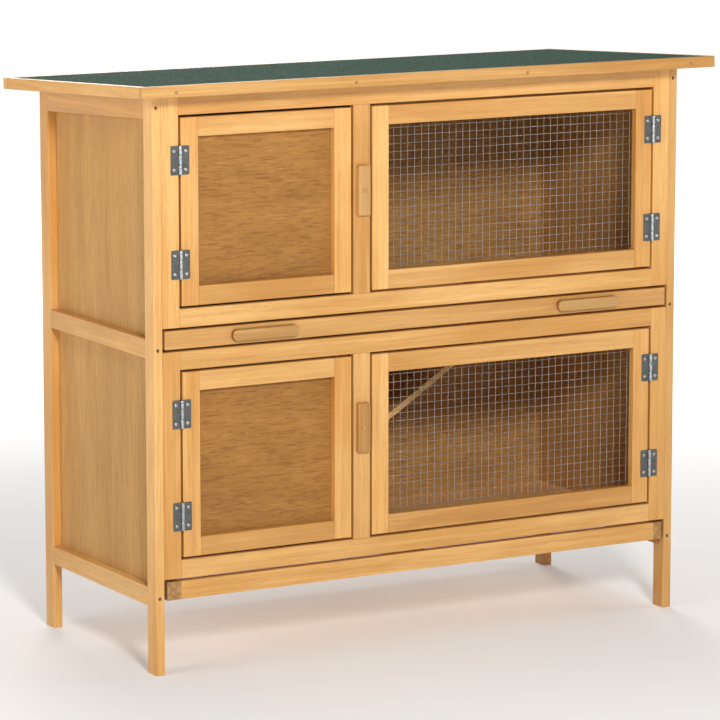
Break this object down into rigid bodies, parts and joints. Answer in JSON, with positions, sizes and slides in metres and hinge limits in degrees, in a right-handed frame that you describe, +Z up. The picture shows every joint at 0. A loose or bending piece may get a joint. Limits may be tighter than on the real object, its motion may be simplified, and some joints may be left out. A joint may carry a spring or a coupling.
{
  "type": "rabbit hutch",
  "caption": "Two-storey wooden rabbit hutch with solid and wire-mesh doors, turn buttons, pull-out tray between the storeys, inner ramp and gently sloping felt roof.",
  "frame": {"origin": "ground level under the middle of the hutch, centred left to right and front to back", "axes": "+Z up, +X to the right as seen from the doors, -Y towards the person opening the doors"},
  "size_m": [1.04, 0.5018, 0.924],
  "materials": {
    "softwood": "satin",
    "plywood": "satin",
    "zinc_steel": "satin",
    "mesh_wire": "satin",
    "roof_felt": "matte"
  },
  "bodies": {
    "hutch": {"leg_front_left": "softwood", "leg_front_right": "softwood", "leg_back_left": "softwood", "leg_back_right": "softwood", "side_rails_left": "softwood", "side_rails_right": "softwood", "side_panels_left": "plywood", "side_panels_right": "plywood", "back_rails": "softwood", "back_panels": "plywood", "frame_screws": "zinc_steel", "floor_sides": "softwood", "floor_rails": "softwood", "floor_board": "plywood", "lower_frame_stiles": "softwood", "lower_frame_rails": "softwood", "lower_mullion": "softwood", "upper_frame_stiles": "softwood", "upper_frame_rails": "softwood", "upper_mullion": "softwood", "tray_runners": "softwood", "tray_bearers": "softwood", "nest_divider": "plywood", "roof_board": "plywood", "roof_felt": "roof_felt", "roof_trim_front": "softwood", "roof_trim_back": "softwood", "roof_trim_sides": "softwood", "roof_nails": "zinc_steel", "hinge_leaves_left": "zinc_steel", "hinge_leaves_right": "zinc_steel", "button_screws": "zinc_steel", "ramp_rod": "zinc_steel"},
    "upper_left_door": {"upper_left_door_stiles": "softwood", "upper_left_door_rails": "softwood", "upper_left_door_panel": "plywood", "upper_left_door_hinges": "zinc_steel"},
    "upper_right_door": {"upper_right_door_stiles": "softwood", "upper_right_door_rails": "softwood", "upper_right_door_mesh": "mesh_wire", "upper_right_door_hinges": "zinc_steel"},
    "lower_left_door": {"lower_left_door_stiles": "softwood", "lower_left_door_rails": "softwood", "lower_left_door_panel": "plywood", "lower_left_door_hinges": "zinc_steel"},
    "lower_right_door": {"lower_right_door_stiles": "softwood", "lower_right_door_rails": "softwood", "lower_right_door_mesh": "mesh_wire", "lower_right_door_hinges": "zinc_steel"},
    "upper_button": {"upper_turn_button": "softwood"},
    "lower_button": {"lower_turn_button": "softwood"},
    "tray": {"tray_front": "softwood", "tray_base": "plywood", "tray_lip": "softwood", "tray_handles": "softwood"},
    "ramp": {"ramp_board": "softwood", "ramp_cleats": "softwood", "ramp_head": "softwood"}
  },
  "joints": [
    {"name": "upper_left_door_hinge", "type": "hinge", "parent": "hutch", "child": "upper_left_door", "pos_m": [-0.433, -0.2027, 0.7235], "axis": [0, 0, -1], "range_deg": [0, 110]},
    {"name": "upper_right_door_hinge", "type": "hinge", "parent": "hutch", "child": "upper_right_door", "pos_m": [0.433, -0.2027, 0.7235], "axis": [0, 0, 1], "range_deg": [0, 110]},
    {"name": "lower_left_door_hinge", "type": "hinge", "parent": "hutch", "child": "lower_left_door", "pos_m": [-0.433, -0.2027, 0.3295], "axis": [0, 0, -1], "range_deg": [0, 110]},
    {"name": "lower_right_door_hinge", "type": "hinge", "parent": "hutch", "child": "lower_right_door", "pos_m": [0.433, -0.2027, 0.3295], "axis": [0, 0, 1], "range_deg": [0, 110]},
    {"name": "upper_button_turn", "type": "hinge", "parent": "hutch", "child": "upper_button", "pos_m": [-0.113, -0.205, 0.7385], "axis": [0, 1, 0], "range_deg": [0, 90]},
    {"name": "lower_button_turn", "type": "hinge", "parent": "hutch", "child": "lower_button", "pos_m": [-0.113, -0.205, 0.3605], "axis": [0, 1, 0], "range_deg": [0, 90]},
    {"name": "tray_slide", "type": "slide", "parent": "hutch", "child": "tray", "axis": [0, -1, 0], "range_m": [0, 0.33]},
    {"name": "ramp_lift", "type": "hinge", "parent": "hutch", "child": "ramp", "pos_m": [0.31397, 0.085, 0.49697], "axis": [0, 1, 0], "range_deg": [0, 28]}
  ]
}
